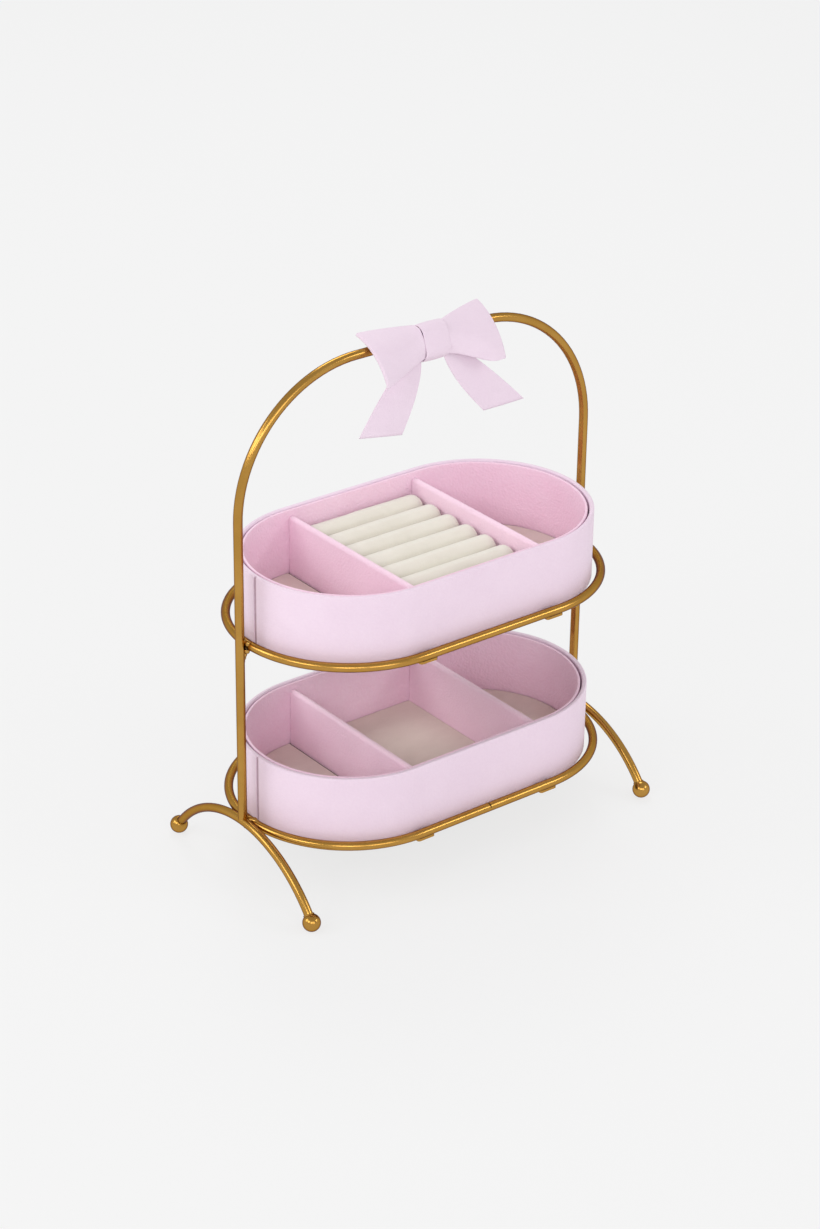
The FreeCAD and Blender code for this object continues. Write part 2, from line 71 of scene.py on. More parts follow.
# ---------------------------------------------------------------- materials
class Nodes:
    """A new material with its Principled shader, and short ways to add nodes to it."""

    def __init__(self, name):
        self.material = bpy.data.materials.new(name)
        self.material.use_nodes = True
        self.tree = self.material.node_tree
        self.shader = self.tree.nodes["Principled BSDF"]
        self.place = self.add("ShaderNodeTexCoord").outputs["Object"]

    def add(self, kind, **values):
        made = self.tree.nodes.new(kind)
        for key, value in values.items():
            if hasattr(made, key):
                setattr(made, key, value)
            else:
                made.inputs[key.replace("_", " ")].default_value = value
        return made

    def link(self, source, target):
        self.tree.links.new(source, target)

    def set(self, **values):
        for key, value in values.items():
            self.shader.inputs[key.replace("_", " ")].default_value = value

    def noise(self, scale, detail=3.0, roughness=0.55, stretch=None):
        made = self.add("ShaderNodeTexNoise", Scale=scale, Detail=detail, Roughness=roughness)
        place = self.place
        if stretch:
            mapping = self.add("ShaderNodeMapping", Scale=stretch)
            self.link(place, mapping.inputs["Vector"])
            place = mapping.outputs["Vector"]
        self.link(place, made.inputs["Vector"])
        return made.outputs["Fac"]

    def cells(self, scale):
        made = self.add("ShaderNodeTexVoronoi", feature="SMOOTH_F1", Scale=scale, Smoothness=0.6)
        self.link(self.place, made.inputs["Vector"])
        return made.outputs["Distance"]

    def ramp(self, source, *stops):
        made = self.add("ShaderNodeValToRGB")
        points = made.color_ramp.elements
        while len(points) < len(stops):
            points.new(0.5)
        for point, (at, colour) in zip(points, stops):
            point.position = at
            point.color = (*colour, 1.0)
        self.link(source, made.inputs["Fac"])
        return made.outputs["Color"]

    def range(self, source, low, high, source_low=0.3, source_high=0.7):
        made = self.add("ShaderNodeMapRange")
        for key, value in (("From Min", source_low), ("From Max", source_high),
                           ("To Min", low), ("To Max", high)):
            made.inputs[key].default_value = value
        self.link(source, made.inputs["Value"])
        return made.outputs["Result"]

    def mix(self, first, second, factor):
        made = self.add("ShaderNodeMix", data_type="RGBA", blend_type="MIX", Factor=factor)
        self.link(first, made.inputs["A"])
        self.link(second, made.inputs["B"])
        return made.outputs["Result"]

    def sum(self, first, second, share):
        made = self.add("ShaderNodeMath", operation="MULTIPLY_ADD")
        self.link(second, made.inputs[0])
        made.inputs[1].default_value = share
        self.link(first, made.inputs[2])
        return made.outputs["Value"]

    def bump(self, height, distance):
        made = self.add("ShaderNodeBump", Strength=1.0, Distance=distance)
        self.link(height, made.inputs["Height"])
        self.link(made.outputs["Normal"], self.shader.inputs["Normal"])

    def colour(self, source):
        self.link(source, self.shader.inputs["Base Color"])

    def rough(self, source):
        self.link(source, self.shader.inputs["Roughness"])


def gold(name, dark, light, rough=(0.22, 0.24)):
    """Satin lacquered wire, a little uneven along its length."""
    m = Nodes(name)
    blotch = m.noise(55.0)
    m.colour(m.ramp(blotch, (0.3, dark), (0.7, light)))
    m.rough(m.range(m.noise(240.0), *rough))
    m.bump(m.noise(700.0, detail=2.0), 0.000001)
    m.set(Metallic=1.0, Specular_Tint=(0.1, 0.04, 0.005, 1.0),
          Coat_Weight=0.28, Coat_Roughness=0.16)
    return m.material


def leatherette(name, colour, shade, grain=850.0, depth=0.00022,
                rough=(0.46, 0.6), specular=0.32):
    """Pressed pebble grain with soft mottling."""
    m = Nodes(name)
    pebbles = m.cells(grain)
    fine = m.noise(grain * 2.2, detail=2.0)
    mottled = m.ramp(m.noise(38.0, detail=4.0), (0.32, shade), (0.62, colour))
    pits = m.ramp(pebbles, (0.25, colour), (0.75, shade))
    m.colour(m.mix(mottled, pits, 0.35))
    m.rough(m.range(pebbles, *rough))
    m.bump(m.sum(pebbles, fine, 0.35), depth)
    m.set(Specular_IOR_Level=specular, Sheen_Weight=0.06, Sheen_Roughness=0.5)
    return m.material


def suede(name, colour, shade, nap=2600.0):
    """Brushed microsuede: short nap in cloudy patches."""
    m = Nodes(name)
    cloud = m.ramp(m.noise(70.0, detail=5.0, stretch=(1.0, 1.7, 1.0)),
                   (0.3, shade), (0.7, colour))
    fleck = m.ramp(m.noise(nap, detail=2.0), (0.3, shade), (0.65, colour))
    m.colour(m.mix(cloud, fleck, 0.4))
    m.rough(m.range(m.noise(nap, detail=1.0), 0.86, 0.98))
    m.bump(m.noise(nap, detail=2.0), 0.00018)
    m.set(Specular_IOR_Level=0.12, Sheen_Weight=0.25, Sheen_Roughness=0.6)
    return m.material


def board(name, colour, shade):
    """Grey fibreboard with short fibres."""
    m = Nodes(name)
    fibre = m.noise(420.0, detail=5.0, stretch=(1.0, 4.0, 1.0))
    m.colour(m.ramp(fibre, (0.3, shade), (0.7, colour)))
    m.rough(m.range(fibre, 0.75, 0.92))
    m.bump(fibre, 0.00012)
    m.set(Specular_IOR_Level=0.2)
    return m.material


GOLD = gold("antique_gold", (0.45, 0.235, 0.040), (0.52, 0.28, 0.056))
WELD = gold("weld_gold", (0.36, 0.18, 0.025), (0.54, 0.31, 0.08), rough=(0.14, 0.30))
# Near-black gold: painted shade, laid in the slit of the lower ring's butt joint and in the pits
# of the upper welds.
GAP_SHADE = gold("painted_gap_shade", (0.05, 0.024, 0.006), (0.08, 0.04, 0.01), rough=(0.5, 0.7))
LEATHER = leatherette("lilac_leatherette", (0.83, 0.675, 0.79), (0.80, 0.64, 0.76),
                      depth=0.00012)
# Darker leatherette laid over the walls' seam groove: painted shade.
GROOVE_SHADE = leatherette("seam_shadow", (0.56, 0.41, 0.49), (0.50, 0.36, 0.44),
                   rough=(0.7, 0.8))
# Liner and dividers: the wall's leatherette made lighter and pinker, standing for the rosy bounce
# light inside the trays: painted light.
LINER = leatherette("liner_painted_bounce", (0.91, 0.668, 0.80), (0.885, 0.608, 0.75),
                    grain=760.0, depth=0.0003, rough=(0.55, 0.7), specular=0.22)
DIVIDER = leatherette("divider_leatherette", (0.915, 0.685, 0.805), (0.89, 0.635, 0.765),
                      grain=900.0, rough=(0.55, 0.7), specular=0.22)
RIBBON = leatherette("ribbon_leatherette", (0.805, 0.67, 0.77), (0.775, 0.63, 0.74),
                     grain=1500.0, depth=0.00006, rough=(0.55, 0.66), specular=0.22)
SUEDE = suede("taupe_microsuede", (0.815, 0.71, 0.635), (0.745, 0.635, 0.565))
VELVET = suede("cream_velvet", (0.82, 0.785, 0.705), (0.77, 0.73, 0.645), nap=3200.0)
BOARD = board("grey_fibreboard", (0.23, 0.18, 0.145), (0.17, 0.13, 0.105))


def dress(name, material):
    """Give a CAD node its material."""
    obj = nodes[name]
    obj.data.materials.clear()
    obj.data.materials.append(material)


# ---------------------------------------------------------------- meshes
def finish_mesh(name, mesh, material, body, slot, *replaced):
    """Link a mesh as a piece of the object, on its CAD body."""
    edit = bmesh.new()
    edit.from_mesh(mesh)
    bmesh.ops.recalc_face_normals(edit, faces=edit.faces)
    edit.to_mesh(mesh)
    edit.free()
    mesh.polygons.foreach_set("use_smooth", [True] * len(mesh.polygons))
    mesh.materials.clear()
    mesh.materials.append(material)
    obj = bpy.data.objects.new(name, mesh)
    scene.collection.objects.link(obj)
    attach(obj, body)
    if replaced:
        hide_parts(*replaced)
    return obj


def evaluated(obj):
    """A new mesh of an object with its modifiers applied."""
    return bpy.data.meshes.new_from_object(
        obj.evaluated_get(bpy.context.evaluated_depsgraph_get()))


def modified(mesh, *changes):
    """A copy of a mesh through modifiers, each given as its kind and its settings."""
    obj = bpy.data.objects.new(mesh.name, mesh)
    scene.collection.objects.link(obj)
    for kind, settings in changes:
        modifier = obj.modifiers.new(kind.lower(), kind)
        for key, value in settings.items():
            setattr(modifier, key, value)
    bpy.context.view_layer.update()
    result = evaluated(obj)
    bpy.data.objects.remove(obj)
    return result


def voxels(size):
    """Settings of a remesh into even quads of a size in millimetres."""
    return "REMESH", {"mode": "VOXEL", "voxel_size": size * MM}


def spaced(count, edge):
    """Shares from 0 to 1, with extra ones within the edge share of both ends."""
    rim = [0.0, 0.12 * edge, 0.38 * edge, edge]
    inner = [edge + (1 - 2 * edge) * i / count for i in range(1, count)]
    return rim + inner + [1 - share for share in reversed(rim)]


def edge_swell(distance, half):
    """Half thickness near a cut edge, as a share: a small round-over."""
    way = min(distance / half, 1.0)
    return 0.45 + 0.55 * math.sqrt(1 - (1 - way) ** 2)


def thick_sheet(name, rows, thickness, ring=False):
    """A closed sheet of the given thickness round a grid of points, with rounded cut edges."""
    count, width = len(rows), len(rows[0])
    half = thickness / 2
    along = [[0.0] * width for _ in rows]
    for i in range(1, count):
        for j in range(width):
            along[i][j] = along[i - 1][j] + (rows[i][j] - rows[i - 1][j]).length
    verts = [[], []]
    for i in range(count):
        across = [0.0]
        for j in range(1, width):
            across.append(across[-1] + (rows[i][j] - rows[i][j - 1]).length)
        for j in range(width):
            before = rows[(i - 1) % count] if ring else rows[max(i - 1, 0)]
            after = rows[(i + 1) % count] if ring else rows[min(i + 1, count - 1)]
            lengthwise = after[j] - before[j]
            crosswise = rows[i][min(j + 1, width - 1)] - rows[i][max(j - 1, 0)]
            normal = lengthwise.cross(crosswise).normalized()
            to_edge = min(across[j], across[-1] - across[j])
            if not ring:
                to_edge = min(to_edge, along[i][j], along[-1][j] - along[i][j])
            reach = normal * half * edge_swell(to_edge, half)
            verts[0].append(rows[i][j] + reach)
            verts[1].append(rows[i][j] - reach)
    total = count * width
    faces = []
    steps = count if ring else count - 1
    for i in range(steps):
        for j in range(width - 1):
            a, b = i * width + j, (i + 1) % count * width + j
            faces.append((a, b, b + 1, a + 1))
            faces.append((total + a, total + a + 1, total + b + 1, total + b))
        for j in (0, width - 1):
            a, b = i * width + j, (i + 1) % count * width + j
            faces.append((a, b, total + b, total + a))
    if not ring:
        for i in (0, count - 1):
            for j in range(width - 1):
                a = i * width + j
                faces.append((a, a + 1, total + a + 1, total + a))
    mesh = bpy.data.meshes.new(name)
    mesh.from_pydata([v * MM for v in verts[0] + verts[1]], [], faces)
    return mesh


def smooth(way):
    """An eased step from 0 to 1."""
    way = max(0.0, min(1.0, way))
    return way * way * (3 - 2 * way)


def ripple(point, scale, seed):
    """Smooth noise from -1 to 1 at a place in millimetres."""
    return noise.noise(Vector(point) * scale + Vector((seed * 7.3, seed * 3.1, seed * 5.7)))


# ---------------------------------------------------------------- stand
for name in frame["record"]["behaviour"]["bodies"]["stand"]:
    if not name.startswith("bow"):
        dress(name, GOLD)


WELD_RIPPLE = 0.14


def lump(name, balls, seed, replaced=(), material=WELD):
    """A weld run: overlapping drops melted into one skin."""
    merged = bmesh.new()
    for centre, radius in balls:
        made = bmesh.ops.create_icosphere(merged, subdivisions=3, radius=radius * MM)
        bmesh.ops.translate(merged, verts=made["verts"], vec=Vector(centre) * MM)
    mesh = bpy.data.meshes.new(name + "_drops")
    merged.to_mesh(mesh)
    merged.free()
    melted = modified(mesh, voxels(0.28), ("SMOOTH", {"factor": 0.5, "iterations": 6}))
    for vertex in melted.vertices:
        vertex.co += vertex.normal * WELD_RIPPLE * MM * ripple(vertex.co / MM, 0.8, seed)
    melted.name = name
    return finish_mesh(name, melted, material, "stand", "gold_wire", *replaced)


# Drops of each weld on the right: outwards from the joint, along y, up, and their radius.
UPPER_DROPS = ((-0.4, 0, 2.6, 2.1), (-1.0, -2.6, 1.9, 1.9), (-1.0, 2.6, 1.9, 1.8),
               (0.0, 0, -3.2, 2.2), (-0.6, -2.0, -2.8, 1.6), (0.2, -0.4, -5.2, 1.7),
               (0.5, -0.4, -7.2, 1.4), (0.8, -0.4, -9.2, 1.1), (0.3, 2.2, -1.2, 1.5))
# Drops of a near-black lump in the hollow between post and weld: painted shade of the pit.
UPPER_PIT_SHADE = ((0.2, -2.5, -0.6, 0.9), (0.0, -2.7, -1.6, 0.7))
LOWER_DROPS = ((0.0, 0, 2.8, 2.0), (-1.0, -2.4, 2.2, 2.1), (-2.4, -3.8, 1.9, 1.8),
               (-0.4, 2.8, 1.4, 1.9), (0.0, -3.6, -0.6, 1.7), (-3.2, -5.6, 1.8, 1.2),
               (0.0, 3.6, -1.0, 1.6), (0.0, 0, -2.0, 2.0))


def at_joint(side, tier, drops):
    """Drops of a weld placed at the joint of a ring and a post, mirrored to its side."""
    x, z = side * (POST_X - WIRE_RADIUS), RING_Z[tier]
    return [((x + side * out, y, z + up), radius) for out, y, up, radius in drops]


for side, label in SIDES:
    lump("upper_%s_weld_run" % label, at_joint(side, "upper", UPPER_DROPS), 3 + side,
         ["upper_%s_weld" % label])
    # A near-black lump in the hollow of each upper weld: painted shade.
    lump("upper_%s_weld_pit" % label, at_joint(side, "upper", UPPER_PIT_SHADE), 5 + side, material=GAP_SHADE)
    lump("lower_%s_weld_run" % label, at_joint(side, "lower", LOWER_DROPS), 8 + side,
         ["lower_%s_weld" % label])


# Thickness of the dark sheets of painted shade in the ring's butt joint and in the walls' seam
# groove.
SHADE_SHEET_THICKNESS = 0.12


def butt_seam(x, first, last, steps=24):
    """The slit where the two ends of the lower ring's wire meet, on its upper front, drawn as a
    near-black sheet: painted shade of the slit.
    """
    rows = []
    out = WIRE_RADIUS - 0.02
    for i in range(steps + 1):
        turn = math.radians(first + (last - first) * i / steps)
        wander = 0.08 * ripple((i * 0.9, 0.0, 0.0), 0.5, 4)
        y, z = -RING_RADIUS - out * math.cos(turn), RING_Z["lower"] + out * math.sin(turn)
        rows.append([Vector((x + wander + across, y, z)) for across in (-0.4, 0.0, 0.4)])
    mesh = thick_sheet("lower_ring_butt_seam_shade", rows, SHADE_SHEET_THICKNESS)
    finish_mesh("lower_ring_butt_seam_shade", mesh, GAP_SHADE, "stand", "gold_wire")


butt_seam(0.5, 18.0, 120.0)


def foot_collar(name, side, depth, seed, count=20):
    """The ring of weld where a leg's wire runs into its ball."""
    rise = LEG_TOP_Z - FOOT_Z
    bow = (LEG_HALF_SPAN**2 + rise**2) / (2 * rise)
    slope = Vector((0.0, -depth * (bow - rise) / bow, LEG_HALF_SPAN / bow))
    centre = Vector((side * POST_X, depth * LEG_HALF_SPAN, FOOT_Z)) + slope * 4.35
    first = Vector((1.0, 0.0, 0.0))
    second = slope.cross(first)
    drops = []
    for i in range(count):
        turn = 2 * math.pi * i / count
        out = first * math.cos(turn) + second * math.sin(turn)
        radius = 0.52 + 0.06 * ripple((i, 0, 0), 0.7, seed)
        drops.append((centre + out * (WIRE_RADIUS + 0.12), radius))
    lump(name, drops, seed)


for side, label in SIDES:
    for depth, place in ((-1, "front"), (1, "back")):
        foot_collar("%s_%s_foot_collar" % (label, place), side, depth, 20 + side + 3 * depth)

# ---------------------------------------------------------------- trays
for tier in ("upper", "lower"):
    dress(tier + "_tray_wall", LEATHER)
    dress(tier + "_tray_base", BOARD)
    for side in ("left", "right"):
        dress("%s_tray_%s_divider" % (tier, side), DIVIDER)
dress("ring_roll_card", BOARD)


def stadium(radius, steps=36, straight=24):
    """Places and outward directions round a stadium, from the right front corner round."""
    places = []
    for side in (1, -1):
        for i in range(steps):
            turn = math.pi * (i / steps - 0.5) + (0.0 if side > 0 else math.pi)
            out = Vector((math.cos(turn), math.sin(turn), 0.0))
            places.append((Vector((side * RING_HALF_STRAIGHT, 0.0, 0.0)) + out * radius, out))
        for i in range(straight):
            out = Vector((0.0, side, 0.0))
            x = side * RING_HALF_STRAIGHT * (1 - 2 * i / straight)
            places.append((Vector((x, side * radius, 0.0)), out))
    return places


LINER_LEAN = -0.75
LINER_PUCKER = 0.3


def liner_band(tier, seed):
    """The inner band: at the round ends it leans off the wall and puckers a little at its foot."""
    foot = TRAY_Z[tier] + BASE_THICKNESS
    height = TRAY_HEIGHT - LINER_DROP - BASE_THICKNESS
    middle = LINER_RADIUS - LINER_THICKNESS / 2
    rows = []
    for place, out in stadium(middle):
        end = smooth((abs(place.x) - 62.0) / 38.0)
        row = []
        for share in spaced(14, 0.03):
            z = foot + height * share
            lean = LINER_LEAN * end * smooth((share - 0.35) / 0.65)
            lean *= 1 + 0.3 * ripple(place, 0.03, seed)
            pucker = LINER_PUCKER * end * max(0.0, 1 - share / 0.22) ** 2
            pucker *= ripple((place.x, place.y, z), 0.28, seed + 1)
            row.append(place + out * (lean + min(0.0, pucker)) + Vector((0.0, 0.0, z)))
        rows.append(row)
    label = tier + "_tray_liner"
    mesh = thick_sheet(label + "_band", rows, LINER_THICKNESS, ring=True)
    finish_mesh(label + "_band", mesh, LINER, tier + "_tray", "liner_leatherette", label)


def wall_seam(tier, steps=40):
    """The wall's seam groove, where the two ends of the cover meet, lined with a darker sheet:
    painted shade of the groove.
    """
    rows = []
    surface = -(RING_HALF_STRAIGHT + WALL_RADIUS)
    depth = SEAM_DEPTH - 0.03
    turns = [math.radians(turn) for turn in range(-54, 67, 15)]
    for i in range(steps + 1):
        z = TRAY_Z[tier] + 0.6 + (TRAY_HEIGHT - 1.6) * i / steps
        y = 0.12 * ripple((0.0, 0.0, z), 0.12, 6)
        rows.append([Vector((surface + depth * math.cos(turn), y + depth * math.sin(turn), z))
                     for turn in turns])
    mesh = thick_sheet(tier + "_tray_wall_seam_shade", rows, SHADE_SHEET_THICKNESS)
    finish_mesh(tier + "_tray_wall_seam_shade", mesh, GROOVE_SHADE, tier + "_tray", "tray_leatherette")


for tier, seed in (("upper", 31), ("lower", 35)):
    liner_band(tier, seed)
    wall_seam(tier)


def lining(tier, name, outline, seed):
    """A piece of microsuede laid on the base board; outline gives the half width at each x."""
    z = TRAY_Z[tier] + BASE_THICKNESS + LINING_THICKNESS / 2
    rows = []
    for x, half in outline:
        row = []
        for share in spaced(26, 0.012):
            y = half * (2 * share - 1)
            lift = 0.07 * ripple((x, y, z), 0.05, seed)
            row.append(Vector((x, y, z + 0.05 + lift)))
        rows.append(row)
    label = "%s_tray_%s_lining" % (tier, name)
    mesh = thick_sheet(label + "_cloth", rows, 0.7 * LINING_THICKNESS)
    obj = finish_mesh(label + "_cloth", mesh, SUEDE, tier + "_tray", "floor_suede", label)


def end_outline(side):
    """Half widths of a rounded end bay, from its divider outwards."""
    turn = [math.radians(88.0) * share for share in spaced(30, 0.02)]
    return sorted((side * (RING_HALF_STRAIGHT - 0.3 + FLOOR_RADIUS * math.sin(a)),
                   FLOOR_RADIUS * math.cos(a)) for a in turn)


for tier in ("upper", "lower"):
    for seed, (side, label) in enumerate(SIDES, 1):
        lining(tier, label, end_outline(side), seed)
lining("lower", "centre",
       [(BAY_EDGE * (2 * share - 1), FLOOR_RADIUS) for share in spaced(22, 0.01)], 3)

# ---------------------------------------------------------------- ring rolls
ROLL_COUNT = 7
ROLL_PITCH = 2 * FLOOR_RADIUS / ROLL_COUNT
ROLL_WIDTH = ROLL_PITCH - 0.35
ROLL_HALF_LENGTH = BAY_EDGE - 0.6
ROLL_FOOT_Z = TRAY_Z["upper"] + BASE_THICKNESS + CARD_THICKNESS
ROLL_TOP_Z = TRAY_Z["upper"] + TRAY_HEIGHT - 9.6
ROLL_END = 4.5
FILL_ROOM = 0.5
PAD_MASS = 0.0015


def roll_profile(half, height, steps=40):
    """Closed outline across a roll, as places sideways and up from its foot."""
    side = height - half
    points = [(half, side * i / 5) for i in range(5)]
    turns = [math.pi * i / steps for i in range(steps + 1)]
    points += [(half * math.cos(turn), side + half * math.sin(turn)) for turn in turns]
    points += [(-half, side * (1 - i / 5)) for i in range(1, 5)]
    points += [(-half, 0.0), (-half / 3, 0.0), (half / 3, 0.0)]
    return points


def roll_middle(index):
    """Where the middle of a roll is along y."""
    return (index - (ROLL_COUNT + 1) / 2) * ROLL_PITCH


def roll_blank(index):
    """The cover of a roll before it is stuffed: a slightly slack tube with rounded ends."""
    height = ROLL_TOP_Z - ROLL_FOOT_Z - FILL_ROOM
    reach = ROLL_HALF_LENGTH - FILL_ROOM
    profile = roll_profile(ROLL_WIDTH / 2 - FILL_ROOM, height)
    middle = height * 0.62
    turns = [math.radians(90) * i / 8 for i in range(9)]
    left = sorted((-reach + ROLL_END * (1 - math.sin(t)), 1 - 0.36 * (1 - math.cos(t)))
                  for t in turns)
    body = [(-reach + ROLL_END + 2 * (reach - ROLL_END) * i / 30, 1.0) for i in range(1, 30)]
    sections = left + body + [(-x, shrink) for x, shrink in reversed(left)]
    verts, faces = [], []
    for x, shrink in sections:
        for across, up in profile:
            over = up - middle
            low = min(1.0, max(0.0, up / 6.0))
            y = roll_middle(index) + across * (1 - (1 - shrink) * (0.25 + 0.75 * low))
            z = ROLL_FOOT_Z + middle + over * (shrink if over > 0 else 1.0)
            soft = 0.12 * ripple((x, y, z), 0.05, 10 + index)
            verts.append(Vector((x, y + 0.3 * soft, z + soft * low)) * MM)
    width = len(profile)
    for i in range(len(sections) - 1):
        for j in range(width):
            a, b = i * width + j, i * width + (j + 1) % width
            faces.append((a, b, b + width, a + width))
    faces.append(tuple(range(width)))
    last = (len(sections) - 1) * width
    faces.append(tuple(reversed(range(last, last + width))))
    mesh = bpy.data.meshes.new("ring_roll_%d_blank" % index)
    mesh.from_pydata(verts, [], faces)
    return mesh


def stuffed(blanks, cap=1.1, frames=20):
    """Blow up slack covers as Cloth under pressure, no point by more than the cap."""
    covers = []
    for mesh in blanks:
        obj = bpy.data.objects.new(mesh.name, mesh)
        scene.collection.objects.link(obj)
        cloth = obj.modifiers.new("stuffing", "CLOTH")
        cloth.settings.quality = 6
        cloth.settings.mass = PAD_MASS
        cloth.settings.use_pressure = True
        cloth.settings.uniform_pressure_force = 4.0
        cloth.settings.effector_weights.gravity = 0.0
        cloth.collision_settings.use_collision = False
        cloth.point_cache.frame_start, cloth.point_cache.frame_end = 1, frames
        covers.append(obj)
    for number in range(1, frames + 1):
        scene.frame_set(number)
    results = []
    for obj, slack in zip(covers, blanks):
        full = evaluated(obj)
        for vertex, start in zip(full.vertices, slack.vertices):
            move = vertex.co - start.co
            if move.length > cap * MM:
                vertex.co = start.co + move * (cap * MM / move.length)
        results.append(full)
        bpy.data.objects.remove(obj)
    scene.frame_set(1)
    return results


def ring_rolls():
    """Seven stuffed velvet rolls side by side, flat where they stand and where they touch."""
    pads = [modified(roll_blank(index), voxels(1.8)) for index in range(1, ROLL_COUNT + 1)]
    pads = stuffed(pads)
    for index, pad in enumerate(pads, 1):
        side = ROLL_PITCH / 2 - 0.04
        for vertex in pad.vertices:
            x, y, z = vertex.co / MM
            x = max(-ROLL_HALF_LENGTH, min(ROLL_HALF_LENGTH, x))
            y = roll_middle(index) + max(-side, min(side, y - roll_middle(index)))
            vertex.co = Vector((x, y, max(ROLL_FOOT_Z, z))) * MM
        name = "ring_roll_%d" % index
        mesh = modified(pad, ("SUBSURF", {"levels": 1}))
        mesh.name = name + "_pad"
        obj = finish_mesh(name + "_pad", mesh, VELVET, "upper_tray", "roll_velvet", name)


ring_rolls()

# ---------------------------------------------------------------- ribbon bow
BOW_X = 4.6
BOW_Z = 289.5
BOW_TILT = math.radians(18.0)
RIBBON_THICKNESS = 1.2
KNOT_WIDTH = 14.5
KNOT_HEIGHT = 19.9
KNOT_DROP = 2.7
TAIL_FRONT = WIRE_RADIUS + 0.3 + RIBBON_THICKNESS
LOOP_FRONT = TAIL_FRONT + 0.15 + 2 * RIBBON_THICKNESS
KNOT_FRONT = LOOP_FRONT + 0.15 + RIBBON_THICKNESS
KNOT_BACK = TAIL_FRONT
LOOP_REACH = 39.8
RIBBON_SHOWN = 0.85
KNOT_EDGE = {-1: KNOT_WIDTH / 2, 1: KNOT_WIDTH / 2 + 1.8}


def on_wire(x, forward, up):
    """A place in the bow's plane, which leans back at the top, as a place in the frame."""
    sin, cos = math.sin(BOW_TILT), math.cos(BOW_TILT)
    return Vector((BOW_X + x, -forward * cos + up * sin, BOW_Z + forward * sin + up * cos))


def bend_through(a, b, c):
    """Centre and radius of the circle through three places, and the first and last angle."""
    ax, ay, bx, by, cx, cy = *a, *b, *c
    d = 2 * (ax * (by - cy) + bx * (cy - ay) + cx * (ay - by))
    aa, bb, cc = ax**2 + ay**2, bx**2 + by**2, cx**2 + cy**2
    ux = (aa * (by - cy) + bb * (cy - ay) + cc * (ay - by)) / d
    uy = (aa * (cx - bx) + bb * (ax - cx) + cc * (bx - ax)) / d
    start, end = math.atan2(ay - uy, ax - ux), math.atan2(cy - uy, cx - ux)
    return (ux, uy), math.hypot(ax - ux, ay - uy), start, end


KNOT_RADIUS = (KNOT_FRONT + KNOT_BACK) / 2
KNOT_INNER = KNOT_RADIUS - RIBBON_THICKNESS
KNOT_STRAIGHT = KNOT_HEIGHT - 2 * KNOT_RADIUS
KNOT_PLACE = (KNOT_FRONT - KNOT_BACK) / 2
GATHER = 0.87 * (KNOT_HEIGHT / 2 - RIBBON_THICKNESS)
GATHER_EDGE = KNOT_PLACE + math.sqrt(KNOT_INNER**2 - (GATHER - KNOT_STRAIGHT / 2)**2) - 0.3
GATHERED = ((GATHER_EDGE, GATHER - KNOT_DROP), (LOOP_FRONT, -KNOT_DROP),
            (GATHER_EDGE, -GATHER - KNOT_DROP))
COVER = WIRE_RADIUS + 1.4 + 2 * RIBBON_THICKNESS
COVER_ANGLE = math.radians(15.0)
COVERED = (COVER * math.cos(COVER_ANGLE), COVER * math.sin(COVER_ANGLE))
OPENED = {-1: ((-4.4, 10.4), COVERED, (13.8, -19.5)),
          1: ((-4.4, 11.5), COVERED, (13.8, -20.7))}
CREST_EASE = {-1: 1.6, 1: 1.5}
CREST_PINCH = {-1: 1.9, 1: 1.2}
SKIRT_FALL = {-1: 0.0, 1: 1.1}
SLANT = {-1: (1.1, -0.6), 1: (0.5, -0.8)}


def loop_place(side, reach, share, depth):
    """A place in a loop: along its reach, across the ribbon, and under its front face."""
    way = min(max((reach - KNOT_WIDTH / 2) / (LOOP_REACH - KNOT_WIDTH / 2), 0.0), 1.02)
    forward = way * (1.1 - 0.1 * way)
    left = max(1 - way, 0.0)
    skirt = way if side < 0 else smooth(way / 0.86)
    fall = SKIRT_FALL[side] * smooth(way / 0.1) * left
    eases = ((forward, 1 - left ** CREST_EASE[side]), (forward, 1 - left**2.5), (skirt, skirt))
    points = [(a[0] + (b[0] - a[0]) * out, a[1] + (b[1] - a[1]) * rise)
              for a, b, (out, rise) in zip(GATHERED, OPENED[side], eases)]
    pinch = smooth(way / 0.05) * left**1.5 * CREST_PINCH[side]
    points[0] = points[0][0] - pinch, points[0][1] + pinch
    points[2] = points[2][0], points[2][1] - fall
    (hub_f, hub_u), radius, start, end = bend_through(*points)
    angle = start + (end - start) * share
    pleat = 0.2 * math.cos(9.0 * share + side) * math.exp(-way * 6.0)
    swell = 0.5 * math.sin(math.pi * min(way, 1.0)) * math.sin(math.pi * share)
    beside = smooth((reach - KNOT_EDGE[side]) / 0.25) * math.exp(-way * 4.0)
    beside *= math.sin(math.pi * share) ** 0.08
    relief = swell + pleat * min(1.0, way * 12.0) + 1.05 * beside
    out = radius - depth + relief * (1.0 if depth < RIBBON_THICKNESS else 0.15)
    top, foot = SLANT[side]
    reach += way * (top + (foot - top) * share)
    return on_wire(side * reach, hub_f + out * math.cos(angle), hub_u + out * math.sin(angle))


def ribbon(label, rows, node):
    """A length of ribbon through a grid of places, shown in place of its CAD node."""
    mesh = thick_sheet(label, rows, RIBBON_SHOWN)
    obj = finish_mesh(label, mesh, RIBBON, "stand", "bow_ribbon", node)


